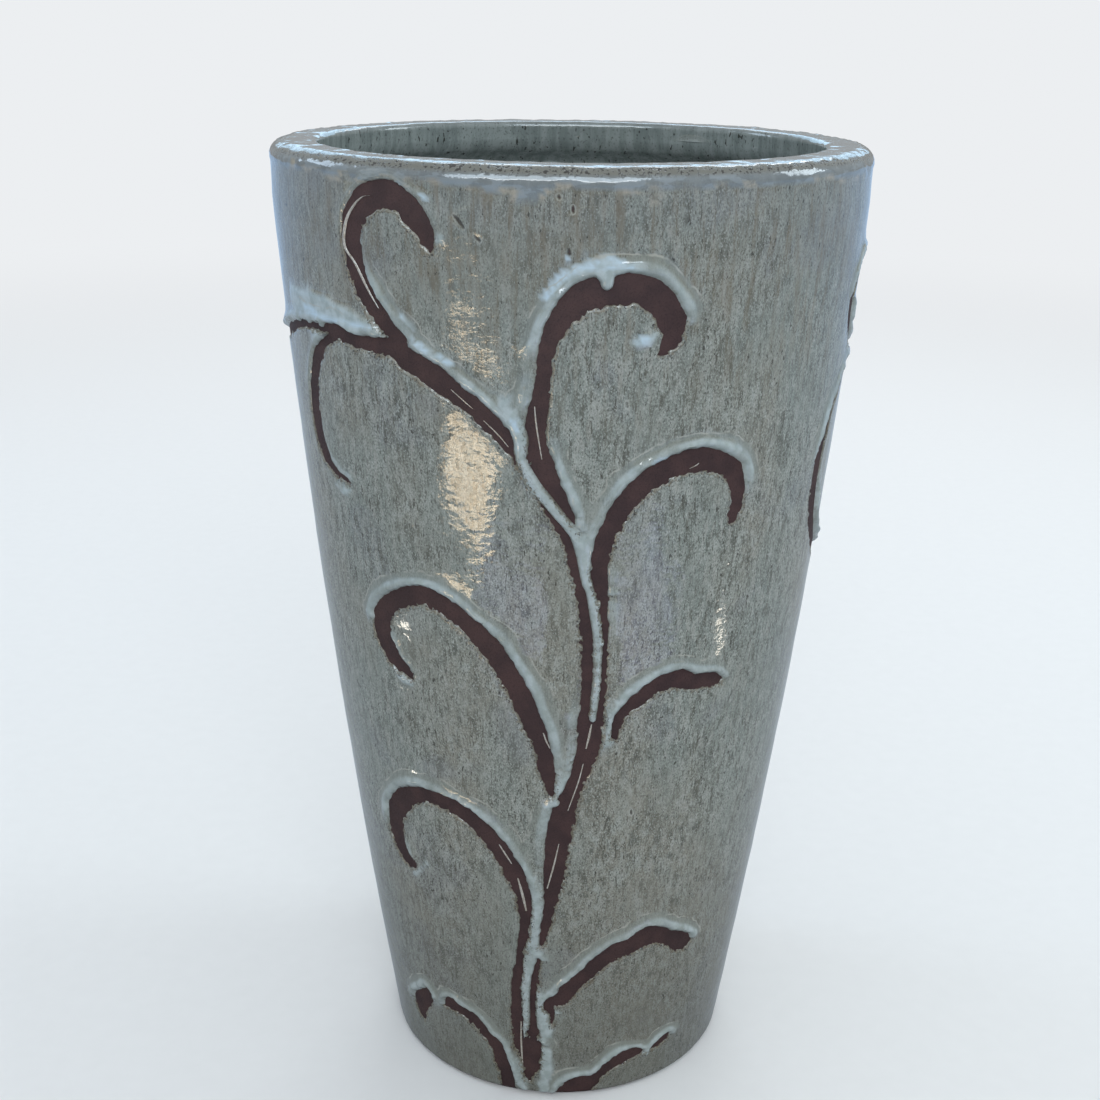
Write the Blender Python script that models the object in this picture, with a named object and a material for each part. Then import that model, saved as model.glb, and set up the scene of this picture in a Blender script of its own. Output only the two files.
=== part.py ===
"""Tall glazed stoneware planter: a tapered, slightly bellied pot with a rolled rim.

The pot is built up the way a potter builds it. A flat base slab with a drain hole carries a
tapered wall, and a thick coil closes the wall at the top. Over that clay lie two coats of
glaze: one inside, and one outside that runs over the rim. Two vines are wiped through the
outer coat, half a turn apart, so that bare clay shows along every stroke.

Metres, +Z up. The origin is the centre of the foot, on the ground. The front looks along -Y.
"""

import math

import bmesh
import bpy

# Driving dimensions of the glazed pot
HEIGHT = 0.700
FOOT_RADIUS = 0.129
BELLY = 0.007  # how far the middle of the wall bulges past a straight taper
TAPER_TOP = 0.665  # the coil starts here, and stands upright
RIM_RADIUS = 0.2083
RIM_WIDTH = 0.0325
WALL = 0.016
BASE_THICKNESS = 0.022
DRAIN_RADIUS = 0.015
GLAZE = 0.0015
GAP = 0.0003

# Rim section
SHOULDER_ROUND = 0.010
LIP_ROUND = 0.0035
LIP_DROP = 0.012  # depth of the lip's upright inner face
COAT_SEAM = 0.001  # the inner coat starts this far under the outer coat's edge
THROAT_DROP = 0.030  # depth where the lip has run back into the wall

# Foot
FOOT_BEVEL = 0.004
FOOT_RING_WIDTH = 0.022
FOOT_RECESS = 0.003
GLAZE_FOOT_LINE = 0.003  # bare clay left under the outer glaze

INNER_GLAZE_DEPTH = 0.180

# Mesh fineness
SEGMENTS = 64
WALL_ROWS = 7
ROUND_STEPS = 4
LIP_STEPS = 2
THROAT_ROWS = 2

# Strokes of one vine as (degrees round the pot, height mm, half width mm) along each centre line
STEM = [
    (-8.7, 12, 3), (-8.6, 36, 8.5), (-9.4, 75, 9), (-9.2, 110, 8.5), (-7.6, 142, 7.5), (-5, 175, 8),
    (-2.5, 208, 8), (-0.4, 242, 8.5), (1.8, 272, 8), (4.6, 300, 7.5), (6.3, 330, 8), (6.6, 370, 8),
    (6.3, 405, 8.5), (5, 440, 9), (2, 468, 8.5), (-2.4, 495, 8.5), (-7, 518, 8), (-13, 545, 6.5),
    (-19, 562, 6.5), (-25, 575, 8), (-31, 585, 7.5), (-38, 589, 5), (-48, 591, 4), (-60, 588, 3.5),
    (-73, 579, 4), (-86, 567, 4), (-97, 565, 4), (-104, 578, 5), (-108, 600, 6.5), (-105, 622, 7),
    (-99, 627, 5.5), (-95, 617, 2.5),
]
FAR_TENDRIL = [
    (-97, 564, 3), (-106, 553, 5), (-112, 534, 6.5), (-115.8, 508, 7), (-115.8, 478, 7.5),
    (-112, 447, 6.5), (-104, 424, 5), (-92, 409, 1.5),
]
TOP_HOOK = [
    (-31, 590, 6), (-36.5, 616, 7), (-39.6, 640, 7.5), (-39.3, 663, 8), (-36.3, 677, 8.5),
    (-31.5, 683, 8), (-26.5, 675, 7.5), (-23.5, 655, 3),
]
LEFT_TENDRIL = [
    (-46, 590, 4), (-53, 580, 4), (-57.7, 560, 6.5), (-59.8, 532, 7.8), (-58.2, 508, 7),
    (-53, 493, 4), (-48, 490, 1.5),
]
MIDDLE_HOOK = [
    (1.5, 480, 4), (-2.6, 512, 7), (-5.2, 545, 7), (-4, 590, 5.5), (-1, 615, 7.5), (5, 630, 9.5),
    (12, 633, 9), (17, 619, 9), (18, 603, 7), (16.6, 594, 2.5),
]
RIGHT_HOOK = [
    (7, 440, 5), (7.4, 470, 6.5), (11, 495, 7), (17, 515, 7.5), (25, 522, 8), (31.5, 515, 8),
    (35.2, 498, 6.5), (34.8, 477, 3.5),
]
RIGHT_BUD = [
    (11.8, 327, 2.5), (13.8, 346, 4.5), (19, 360, 5.5), (25.5, 365.5, 7), (31, 360, 6), (36.6, 357, 3.5),
]
LEFT_HOOK = [
    (-2.2, 281, 2), (-4.5, 320, 6), (-9.3, 360, 7.5), (-16.5, 396, 7.5), (-26, 418, 7), (-35, 417, 6.5),
    (-41.5, 403, 7.5), (-43, 384, 8.5), (-40, 367, 7), (-35.3, 358, 2.5),
]
LOWER_HOOK = [
    (-8.5, 170, 5), (-10.5, 205, 7), (-16, 235, 7), (-23, 254, 6.5), (-34, 261, 6.5), (-43, 248, 8.5),
    (-47.5, 226, 9), (-47, 205, 7.5), (-42.5, 193, 3.5),
]
LOWER_BUD = [
    (-2.2, 93, 4), (4, 108, 6.5), (12, 131, 7), (20, 143, 7.5), (25.5, 148, 8.5), (32, 141, 6.5), (38.6, 130, 7),
]
FOOT_LEAF_LEFT = [
    (-37, 67, 2), (-32, 70, 5), (-25, 60, 5), (-19.5, 44, 7), (-16.6, 18, 7), (-15.8, -4, 6),
]
FOOT_LEAF_RIGHT = [
    (1.5, -4, 7), (8.5, 9, 9), (13, 16, 5), (21, 31, 6), (28.5, 33, 2),
]
FOOT_DAB = [
    (-50.3, 40, 5), (-50, 52, 8), (-46.5, 62, 7.5), (-42.5, 66, 4),
]
VINE = {
    "stem": STEM,
    "far_tendril": FAR_TENDRIL,
    "top_hook": TOP_HOOK,
    "left_tendril": LEFT_TENDRIL,
    "middle_hook": MIDDLE_HOOK,
    "right_hook": RIGHT_HOOK,
    "right_bud": RIGHT_BUD,
    "left_hook": LEFT_HOOK,
    "lower_hook": LOWER_HOOK,
    "lower_bud": LOWER_BUD,
    "foot_leaf_left": FOOT_LEAF_LEFT,
    "foot_leaf_right": FOOT_LEAF_RIGHT,
    "foot_dab": FOOT_DAB,
}
VINE_TURNS = (0.0, 180.0)
CUTTER_REACH = 0.006  # how far a stroke's cutter stands in front of the glaze and behind it


def wall_radius(z):
    """Outside radius of the glazed wall at height z: a straight taper plus a parabolic belly."""
    t = min(z, TAPER_TOP) / TAPER_TOP
    return FOOT_RADIUS + (RIM_RADIUS - FOOT_RADIUS) * t + 4 * BELLY * t * (1 - t)


def inner_radius(z):
    """Inside radius of the finished pot at height z, below the lip."""
    return wall_radius(z) - WALL


def arc(centre, radius, start, end, steps):
    """Points on a circular arc in the (radius, height) plane, angles in degrees from +radius."""
    points = []
    for i in range(steps + 1):
        angle = math.radians(start + (end - start) * i / steps)
        points.append((centre[0] + radius * math.cos(angle), centre[1] + radius * math.sin(angle)))
    return points


def heights(low, high, rows):
    """Evenly spaced heights from high down to low."""
    return [high + (low - high) * i / rows for i in range(rows + 1)]


def rim_path():
    """Section of the glazed rim, from the lip's lower edge over the top to the shoulder."""
    lip = RIM_RADIUS - RIM_WIDTH
    path = [(lip, HEIGHT - LIP_DROP)]
    path += arc((lip + LIP_ROUND, HEIGHT - LIP_ROUND), LIP_ROUND, 180, 90, LIP_STEPS)
    path += arc((RIM_RADIUS - SHOULDER_ROUND, HEIGHT - SHOULDER_ROUND), SHOULDER_ROUND, 90, 0, ROUND_STEPS)
    return path


def wall_path(low, rows):
    """Section of the glazed wall from the top of its taper down to height low."""
    return [(wall_radius(z), z) for z in heights(low, TAPER_TOP, rows)]


def throat_path():
    """Section of the inside, from just under the lip's lower edge back to the inner wall."""
    lip = RIM_RADIUS - RIM_WIDTH
    top = HEIGHT - LIP_DROP
    low = HEIGHT - THROAT_DROP
    path = [(lip, top - COAT_SEAM)]
    for i in range(1, LIP_STEPS + 1):
        swing = math.radians(90 * i / LIP_STEPS)
        path.append((lip + (inner_radius(low) - lip) * (1 - math.cos(swing)), top - (top - low) * math.sin(swing)))
    return path


def inside_path(low):
    """Section of the inside, from just under the lip down to height low."""
    return throat_path() + [(inner_radius(z), z) for z in heights(low, TAPER_TOP, THROAT_ROWS)]


def sunk(path, depth):
    """The path moved by depth into the clay on its right-hand side, or by -depth on its left."""
    moved = []
    for i, (radius, z) in enumerate(path):
        before = path[max(i - 1, 0)]
        after = path[min(i + 1, len(path) - 1)]
        run = (after[0] - before[0], after[1] - before[1])
        length = math.hypot(*run)
        moved.append((radius + depth * run[1] / length, z - depth * run[0] / length))
    return moved


def material(name, colour, roughness):
    """A plain ceramic surface."""
    made = bpy.data.materials.new(name)
    made.use_nodes = True
    shader = made.node_tree.nodes["Principled BSDF"]
    shader.inputs["Base Color"].default_value = (*colour, 1.0)
    shader.inputs["Roughness"].default_value = roughness
    shader.inputs["Metallic"].default_value = 0.0
    return made


def turned(name, outline, surface):
    """A closed ring turned round the pot's axis from a closed outline in (radius, height)."""
    mesh = bpy.data.meshes.new(name)
    points = [(radius, 0.0, z) for radius, z in outline]
    edges = [(i, (i + 1) % len(points)) for i in range(len(points))]
    mesh.from_pydata(points, edges, [])
    mesh.materials.append(surface)
    piece = bpy.data.objects.new(name, mesh)
    bpy.context.collection.objects.link(piece)
    screw = piece.modifiers.new("turn", "SCREW")
    screw.axis = "Z"
    screw.angle = 2 * math.pi
    screw.steps = SEGMENTS
    screw.render_steps = SEGMENTS
    screw.use_merge_vertices = True
    screw.merge_threshold = 0.0001
    screw.use_smooth_shade = True
    return piece


def base_slab(clay):
    """The base: a disc on a foot ring, with a bevelled outer edge and a drain hole."""
    radius = FOOT_RADIUS - GLAZE - GAP
    top_radius = wall_radius(BASE_THICKNESS) - GLAZE - GAP
    ring = radius - FOOT_BEVEL - FOOT_RING_WIDTH
    outline = [
        (top_radius, BASE_THICKNESS),
        (wall_radius(FOOT_BEVEL) - GLAZE - GAP, FOOT_BEVEL),
        (radius - FOOT_BEVEL, 0.0),
        (ring, 0.0),
        (ring - FOOT_RECESS, FOOT_RECESS),
        (DRAIN_RADIUS, FOOT_RECESS),
        (DRAIN_RADIUS, BASE_THICKNESS),
    ]
    return turned("base_slab", outline, clay)


def clay_wall(clay):
    """The tapered wall between the base slab and the rim coil."""
    rows = heights(BASE_THICKNESS + GAP, TAPER_TOP, WALL_ROWS)
    outside = [(wall_radius(z) - GLAZE - GAP, z) for z in rows]
    inside = [(inner_radius(z) + GLAZE + GAP, z) for z in reversed(rows)]
    return turned("clay_wall", outside + inside, clay)


def rim_coil(clay):
    """The thick coil that closes the wall: flat on top, rounded outside, with a lip inside."""
    depth = GLAZE + GAP
    low = TAPER_TOP + GAP
    over = sunk(rim_path(), depth)
    under = [(wall_radius(low) - depth, low), (inner_radius(low) + depth, low)]
    throat = sunk(inside_path(low - WALL), -depth)[: LIP_STEPS + 1]
    return turned("rim_coil", over + under + list(reversed(throat)), clay)


def outer_glaze(glaze, cutters):
    """The outer coat, from the lip over the rim to just above the foot, with the vines wiped out."""
    skin = rim_path() + wall_path(GLAZE_FOOT_LINE, WALL_ROWS)
    outline = skin + list(reversed(sunk(skin, GLAZE)))
    piece = turned("outer_glaze", outline, glaze)
    wipe = piece.modifiers.new("vines", "BOOLEAN")
    wipe.operation = "DIFFERENCE"
    wipe.solver = "EXACT"
    wipe.operand_type = "COLLECTION"
    wipe.collection = cutters
    return piece


def inner_glaze(glaze):
    """The inner coat, from just under the lip down the upper part of the inside."""
    skin = inside_path(HEIGHT - INNER_GLAZE_DEPTH)
    back = sunk(skin, -GLAZE)
    return turned("inner_glaze", back + list(reversed(skin)), glaze)


def surface_point(degrees, z, offset):
    """A point offset outwards from the glazed wall, at an angle measured from the front to +X."""
    angle = math.radians(degrees)
    radius = wall_radius(z) + offset
    return (radius * math.sin(angle), -radius * math.cos(angle), z)


def stroke_edges(stroke):
    """The left and right edges of a stroke, as (degrees, height in metres)."""
    left = []
    right = []
    for i, (degrees, millimetres, half_width) in enumerate(stroke):
        before = stroke[max(i - 1, 0)]
        after = stroke[min(i + 1, len(stroke) - 1)]
        z = millimetres / 1000
        per_degree = math.radians(wall_radius(max(z, 0.0)))
        run = ((after[0] - before[0]) * per_degree, (after[1] - before[1]) / 1000)
        length = math.hypot(*run)
        across = (-run[1] / length * half_width / 1000, run[0] / length * half_width / 1000)
        left.append((degrees + across[0] / per_degree, z + across[1]))
        right.append((degrees - across[0] / per_degree, z - across[1]))
    return left, right


def stroke_cutter(name, stroke, turn, cutters):
    """A closed ribbon that follows a stroke and passes through the glaze."""
    shape = bmesh.new()
    rings = []
    for (left_angle, left_z), (right_angle, right_z) in zip(*stroke_edges(stroke)):
        corners = [
            surface_point(left_angle + turn, left_z, -CUTTER_REACH),
            surface_point(left_angle + turn, left_z, CUTTER_REACH),
            surface_point(right_angle + turn, right_z, CUTTER_REACH),
            surface_point(right_angle + turn, right_z, -CUTTER_REACH),
        ]
        rings.append([shape.verts.new(corner) for corner in corners])
    for ring, following in zip(rings, rings[1:]):
        for i in range(4):
            j = (i + 1) % 4
            shape.faces.new((ring[i], ring[j], following[j], following[i]))
    shape.faces.new(reversed(rings[0]))
    shape.faces.new(rings[-1])
    bmesh.ops.recalc_face_normals(shape, faces=shape.faces)
    mesh = bpy.data.meshes.new(name)
    shape.to_mesh(mesh)
    shape.free()
    cutter = bpy.data.objects.new(name, mesh)
    cutter.hide_render = True
    cutter.display_type = "WIRE"
    cutters.objects.link(cutter)


def vine_cutters():
    """A collection that holds one cutter for every stroke of every vine."""
    cutters = bpy.data.collections.new("vine_cutters")
    bpy.context.scene.collection.children.link(cutters)
    for number, turn in enumerate(VINE_TURNS, start=1):
        for name, stroke in VINE.items():
            stroke_cutter(f"cut_{name}_{number}", stroke, turn, cutters)
    return cutters


def main():
    for leftover in list(bpy.data.objects):
        bpy.data.objects.remove(leftover, do_unlink=True)
    clay = material("fired_clay", (0.055, 0.025, 0.022), 0.85)
    glaze = material("celadon_glaze", (0.20, 0.22, 0.19), 0.22)
    base_slab(clay)
    clay_wall(clay)
    rim_coil(clay)
    outer_glaze(glaze, vine_cutters())
    inner_glaze(glaze)


main()
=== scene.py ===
"""Looks for the tall glazed stoneware planter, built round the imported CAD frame.

The clay pieces are turned again with finer sections. Both glaze coats are skins on a lattice that
runs down the section of the pot and round it. The lattice is fine beside the wiped strokes and coarse
on plain wall, and a skin is cut along the edge of its glaze. Glaze stands thick above every stroke,
where it ran down and pooled, and thin below it, where it frayed.

Metres, +Z up, front towards -Y, as in the frame. Stroke tables are in degrees and millimetres.
"""

import math

import bpy
import numpy as np
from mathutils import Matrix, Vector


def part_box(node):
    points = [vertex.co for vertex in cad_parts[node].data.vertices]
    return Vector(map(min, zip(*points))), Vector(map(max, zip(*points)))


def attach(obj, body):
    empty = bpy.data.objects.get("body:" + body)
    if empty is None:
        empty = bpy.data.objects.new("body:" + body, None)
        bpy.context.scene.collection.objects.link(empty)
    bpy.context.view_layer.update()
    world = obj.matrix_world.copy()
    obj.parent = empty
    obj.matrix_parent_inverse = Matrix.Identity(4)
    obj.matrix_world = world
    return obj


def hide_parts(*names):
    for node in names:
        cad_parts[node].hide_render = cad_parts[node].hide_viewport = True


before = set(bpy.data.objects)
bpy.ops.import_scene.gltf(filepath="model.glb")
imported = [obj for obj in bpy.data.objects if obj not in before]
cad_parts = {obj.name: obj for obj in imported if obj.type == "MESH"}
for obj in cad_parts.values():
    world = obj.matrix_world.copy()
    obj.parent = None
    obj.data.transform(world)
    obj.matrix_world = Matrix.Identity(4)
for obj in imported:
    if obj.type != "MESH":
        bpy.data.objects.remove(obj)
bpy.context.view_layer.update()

MM = 0.001

# Driving dimensions
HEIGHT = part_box("outer_glaze")[1].z
RIM_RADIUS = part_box("outer_glaze")[1].x
FOOT_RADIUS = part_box("base_slab")[1].x + 0.0013  # a little outside the slab's widest edge
GLAZE = 0.0015
WALL = 0.016
BELLY = 0.007  # how far the middle of the wall bulges past a straight taper
TAPER_TOP = HEIGHT - 0.035  # the coil starts here, and stands upright
RIM_WIDTH = 0.0325
SHOULDER_ROUND = 0.010
LIP_ROUND = 0.0035
LIP_DROP = 0.012  # depth of the lip's upright inner face
THROAT_DROP = 0.030  # depth where the lip has run back into the wall
BASE_THICKNESS = 0.022
DRAIN_RADIUS = 0.015
FOOT_BEVEL = 0.004
FOOT_RING_WIDTH = 0.022
FOOT_RECESS = 0.003
GLAZE_FOOT_LINE = 0.003  # bare clay left under the outer glaze
INNER_GLAZE_DEPTH = 0.180
INNER_LATTICE_DEPTH = 0.225  # clear of the lowest drip of the inner glaze

# Fineness
COLUMNS = 800  # lattice columns round the pot
CELL = 0.00155  # spacing of the lattice rows
COARSEST = 16  # rows come in multiples of this, and no cell is larger
PLAIN_CELL = 8  # lattice steps across a cell on plain glaze
OUTER_BANDS = ((4, 12), (2, 5), (1, 1))  # cell size, and how many mm from detail it is the largest
INNER_BANDS = ((4, 30), (2, 10), (1, 2))
BACK_BANDS = ((1, 0),)
TURN_SEGMENTS = 192
THREAD_SIDES = 6
CORNER = 50  # edges sharper than this many degrees stay crisp

# Wiped strokes as (degrees round the pot, height mm, half width mm, and how full the bead is if not 1)
STROKES = {
    "left_stem": [
        (-42.5, 191, 3.5, 0), (-45.5, 195, 6, 0.5), (-48, 210, 8.5, 0.7), (-47, 230, 9), (-43, 246, 8.5),
        (-37, 257, 6.5), (-30, 258, 6.5), (-23, 251.5, 6.5), (-17, 236, 7), (-12.5, 215, 7),
        (-9.5, 193, 6), (-8.8, 170, 4, 0.3), (-10, 143.5, 2.8, 0.1), (-11.4, 117, 3.5, 0.1),
        (-12, 91, 4, 0.1), (-12, 67, 4.5, 0.1), (-11.5, 47, 4, 0.1),
    ],
    "base": [(-8.7, 15, 2), (-8.2, 31, 6.5), (-8.5, 49, 9.5)],
    "right_strand": [(-7.2, 61, 4.5), (-7.4, 81, 2.5), (-7.1, 101, 2.5), (-6.2, 119, 2.5), (-5.3, 133, 1)],
    "stem": [
        (-4.6, 146, 1.2), (-3.5, 163, 3), (-2.3, 183, 4.5), (-1.6, 203, 6.5), (-1, 223, 8),
        (-0.2, 247, 8.5), (1.2, 267, 8), (3.3, 285, 5.5), (4.7, 299, 6.5), (6, 315, 8), (6.3, 332, 7.5),
    ],
    "left_strand": [
        (4.4, 331, 3.5), (5, 349, 3.2), (5.1, 372, 3.8), (4.9, 397, 4), (4, 422, 3.8), (3.1, 437, 3.5),
        (1.9, 453, 3.5), (0.6, 468, 3), (-1.5, 482, 3.5), (-4.5, 500, 3.8), (-8, 521, 4.5), (-11.5, 537, 5.5),
        (-15, 548, 6), (-19, 559, 6.5), (-24, 570, 8), (-29, 579, 7.5), (-33, 585, 6.5), (-38, 586, 5),
        (-43, 586, 4), (-48, 589, 4), (-54, 588.5, 2), (-60, 586.5, 2.5), (-66, 583, 3), (-73, 575, 4),
        (-80, 569, 3), (-86, 563, 4.5), (-92, 560, 3.5), (-98, 563, 4), (-103, 573, 5),
        (-107.5, 589, 6), (-108.5, 607, 6.5), (-105.5, 621, 7), (-101, 626, 6), (-97, 621, 5),
        (-95, 612, 2),
    ],
    "far_tendril": [
        (-101, 559, 3), (-106, 550, 5), (-112, 532, 6.5), (-115.5, 507, 7), (-116, 482, 7.5),
        (-114.5, 457, 7), (-110, 435, 6), (-104, 420, 5), (-97, 410, 4), (-92, 406, 1.5),
    ],
    "right_hook": [
        (8, 331, 3), (8.5, 349, 2.2), (8.7, 372, 1.9), (8.7, 397, 2), (8, 422, 3), (7.2, 437, 5),
        (6.8, 452, 5.5), (7.5, 467, 6), (9.3, 482, 6.5), (12, 497, 7), (15.5, 508, 7.5), (20, 515.5, 7.5),
        (25, 519, 8), (29.5, 516, 7.5), (33.2, 508, 7.5), (35.2, 494, 6, 0.7), (35.2, 482, 5, 0.3),
        (34.8, 474, 3, 0),
    ],
    "top_hook": [
        (-31, 591, 5), (-33.8, 600, 6), (-37, 613, 7), (-39.8, 629, 7.5, 0.5),
        (-40.6, 647, 8, 0.2), (-40.3, 661, 8.5, 0.2), (-37.6, 673, 9.5, 0.3), (-33.3, 680, 8.5, 0.3),
        (-29.2, 677, 7.5, 0.3), (-26.2, 667, 7.5, 0.2), (-24.4, 656, 5.5, 0.1), (-24.2, 650, 2.5, 0.1),
    ],
    "left_tendril": [
        (-48, 585, 2.5, 0.6), (-51.5, 580, 3.5, 0.4), (-55.5, 568, 5.5, 0.3), (-58.3, 552, 6.5, 0.3),
        (-59.5, 537, 7.5, 0.2), (-59.8, 521, 7.8, 0.2), (-58.5, 506, 7, 0.2), (-55.8, 495, 5.5, 0.5),
        (-52.5, 489, 3, 0.5), (-48.5, 487, 1.2, 0.5),
    ],
    "middle_hook": [
        (2, 475, 1.5), (0, 490, 4), (-3, 509, 6), (-5.2, 529, 6.5), (-5.3, 549, 6.5), (-4.3, 572, 5),
        (-3.7, 592, 5), (-1.5, 610, 7), (2.5, 625, 9.5), (8, 629, 9), (12.5, 629, 9), (16.5, 618, 9.5),
        (18.3, 603, 7.5, 0.6), (16.6, 591, 2.5, 0),
    ],
    "right_bud": [
        (11.8, 324, 2.5), (12, 333, 3.5), (14, 344, 4), (17.5, 353, 5.5), (21.5, 360.5, 6),
        (25.5, 362.5, 7), (29.5, 358, 6), (33.5, 356.5, 5.5, 0.7), (36.6, 354, 3.5, 0.5),
    ],
    "left_hook": [
        (-2.2, 278, 2), (-3, 295, 5), (-4.5, 317, 6), (-6.8, 337, 7), (-9.3, 357, 7.5),
        (-12.5, 376, 7.5), (-16.5, 393, 7.5), (-21, 406, 7), (-26, 415, 7), (-31, 417.5, 7),
        (-36, 412, 6.5), (-40.5, 402, 7), (-42.8, 390, 8.5), (-42.5, 377, 8.5), (-40, 365, 7.5, 0.6),
        (-37, 358, 5, 0.5), (-35.3, 355, 2.5, 0),
    ],
    "lower_bud": [
        (-1.5, 72, 1), (-1.6, 81, 2), (-2.2, 92, 4), (1, 96.5, 6), (4, 107, 6.5), (8, 119, 6),
        (12, 130, 7), (16.5, 138, 7.5), (21, 142.5, 7.5), (25.5, 147, 9), (29.5, 144, 6.5),
        (33.5, 137.5, 6.5), (36.5, 132, 8), (38.6, 129, 7),
    ],
    "foot_dab": [(-50, 41, 5), (-50, 51, 8), (-46.5, 61, 7.5), (-44.5, 67, 5), (-44.6, 72, 2.5)],
    "foot_leaf_left": [
        (-37, 66, 1.5), (-34, 70.5, 6), (-30.5, 68, 4.5), (-26.5, 63.5, 5.5), (-22.8, 53, 4),
        (-19.7, 44, 5.5), (-17.8, 29, 5.5), (-16.3, 14, 5.5), (-15.8, -4, 5.5),
    ],
    "foot_leaf_right": [
        (2, -3, 7), (5, 5, 9), (8.5, 9, 10), (11.5, 11, 6), (14.5, 18.5, 4), (18, 27, 5),
        (21.5, 31.5, 6.5), (25, 33.5, 5), (28.5, 32, 1.8),
    ],
    "foot_dot": [(32, 32, 1.2), (34.5, 35, 3.5), (37.5, 38, 4), (38.8, 38.5, 1.5)],
}

# Runs of glaze that cross or fill a stroke
RUNNELS = [
    [
        (-10.8, 558, 4), (-10.1, 552, 4.7), (-8.2, 535, 5), (-8.4, 524, 3.3), (-5.8, 506, 4),
        (-3.4, 495.5, 4), (-1.2, 486, 3.7), (0.4, 479.5, 3.4), (2.1, 471.5, 3.7), (3.5, 460.5, 4.8),
        (4, 446, 3.4), (4.5, 439, 3.4), (5.2, 432, 2.8), (6.1, 418, 3.3), (7.1, 397, 3),
        (7.2, 372, 2.7), (6.9, 350, 2.8), (6.7, 338, 2.3),
    ],
    [(5.4, 643, 6.5), (6.0, 639, 5.5), (6.3, 635, 4.2), (6.3, 633, 3.8)],
    [(-51.8, 597, 2.6), (-52.2, 591, 1.9)],
    [(-57, 597, 2.6), (-57.3, 590.5, 1.8)],
    [(-62.5, 595, 2.4), (-62.8, 588, 1.6)],
    [(-3.2, 269, 2.6), (-1, 271, 2.6)],
    [(-4.5, 140, 2.2), (-6.5, 141, 3)],
    [(-8.5, 117, 3), (-9, 99, 2.8), (-9, 79, 2.6), (-8.8, 66, 1.2)],
]

# Pale ridges and pools of thick glaze away from the beads; their paleness is partly a painted highlight
POOLS = [
    [(2.6, 463, 2), (3.6, 470, 3), (4.2, 477, 1)],
    [(11.4, 596, 0.8), (12.8, 597, 2.4), (14.2, 600, 2.6), (15.0, 603, 0.8)],
    [(-6.2, 191, 1), (-6.2, 180, 1.8), (-5.2, 165, 1.4)],
    [(-8.9, 60, 1.5), (-6, 52, 2), (-3.5, 62, 4), (-4, 85, 3.5), (-4.4, 100, 2)],
    [(-4, 3, 3), (-3.2, 22, 4), (-3.2, 45, 4)],
    [(-17, 50, 1.5), (-15, 34, 2.5), (-13, 18, 3), (-10.5, 6, 3)],
    [(-41, 361, 1), (-38.5, 352, 2.2), (-35, 349, 1.5)],
    [(-42, 184, 1.4), (-39.5, 190, 1.8), (-37, 198, 1)],
    [(-54, 481, 0.8), (-51, 478.5, 1.6), (-48, 480.5, 0.8)],
    [(-22.4, 654.5, 0.8), (-21.6, 656.5, 1.4)],
    [(-26.8, 683.5, 0.8), (-25.2, 681.5, 2.2), (-23.8, 679, 0.8)],
    [(-35.6, 596, 1.5), (-38.5, 598, 4), (-44, 600, 6.5), (-50, 603, 8), (-56, 604, 8.5), (-64, 602, 8)],
    [(-30.4, 607, 0.8), (-28.6, 603, 1.6), (-27.6, 600, 0.8)],
    [(-28.4, 593.5, 1.2), (-25.7, 588.5, 3.2), (-23.5, 585.5, 3), (-20.9, 581, 1.6)],
    [(-3.9, 623, 1), (-2.6, 628.5, 2.5), (-0.6, 637, 3), (3, 643, 3.2), (7.5, 644.5, 3), (11, 641, 1.8)],
    [(14.2, 516, 1), (16.4, 520, 2.2), (18.9, 523, 2.4), (21.2, 524.5, 1)],
]

# Places where a pale blue sky reflection is painted on the thickest glaze
PAINTED_SHEEN_SPOTS = [
    [(-28.4, 593.5, 1), (-25.7, 588.8, 2.6), (-23.5, 586, 2.4), (-20.9, 581.5, 1)],
    [(-30.4, 608, 0.6), (-28.6, 604, 1.2), (-27.8, 601, 0.6)],
    [
        (-3.9, 625, 0.8), (-2.6, 630, 2), (-0.6, 638.5, 2.4), (3, 644, 2.6), (7.5, 645.5, 2.6),
        (10.5, 643, 1.2),
    ],
    [(12.2, 597.5, 0.6), (13.2, 599, 1.6), (14.2, 601, 0.6)],
    [(14.2, 517, 0.6), (16.4, 521, 1.4), (18.9, 524, 1.4), (20.5, 525, 0.6)],
    [(-26.4, 683, 0.6), (-25.2, 681.5, 1.5), (-24.2, 679.5, 0.6)],
    [(-37, 597, 0.8), (-42, 596.5, 1.6), (-50, 597, 2), (-58, 599, 2)],
    [(-9.6, 548, 1.2), (-8.6, 540, 1.2), (-8.6, 530, 0.8)],
    [(-0.4, 648.5, 0.9), (-0.2, 647.5, 1.0)],
    [(2.7, 651, 0.7), (2.9, 648.5, 0.9)],
]

# Scars and burst bubbles in the glaze
SCARS = [
    [(-19.2, 671, 0.5), (-18.4, 668, 1.2), (-17.4, 663.5, 0.6)],
    [(-15.6, 659.5, 0.5), (-14.8, 657, 0.9)],
    [(-0.2, 653.5, 0.9), (0.0, 651, 1.1)],
    [(-1.9, 684, 0.8), (-1.8, 683, 0.9)],
    [(0.4, 678, 0.6), (0.5, 675, 0.7)],
    [(10.5, 560, 0.5), (10.6, 557, 0.6)],
    [(-30.5, 470, 0.6), (-30.4, 467, 0.7)],
    [(24, 440, 0.5), (24.1, 437.5, 0.6)],
    [(17, 262, 0.6), (17.1, 259, 0.7)],
]

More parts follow.
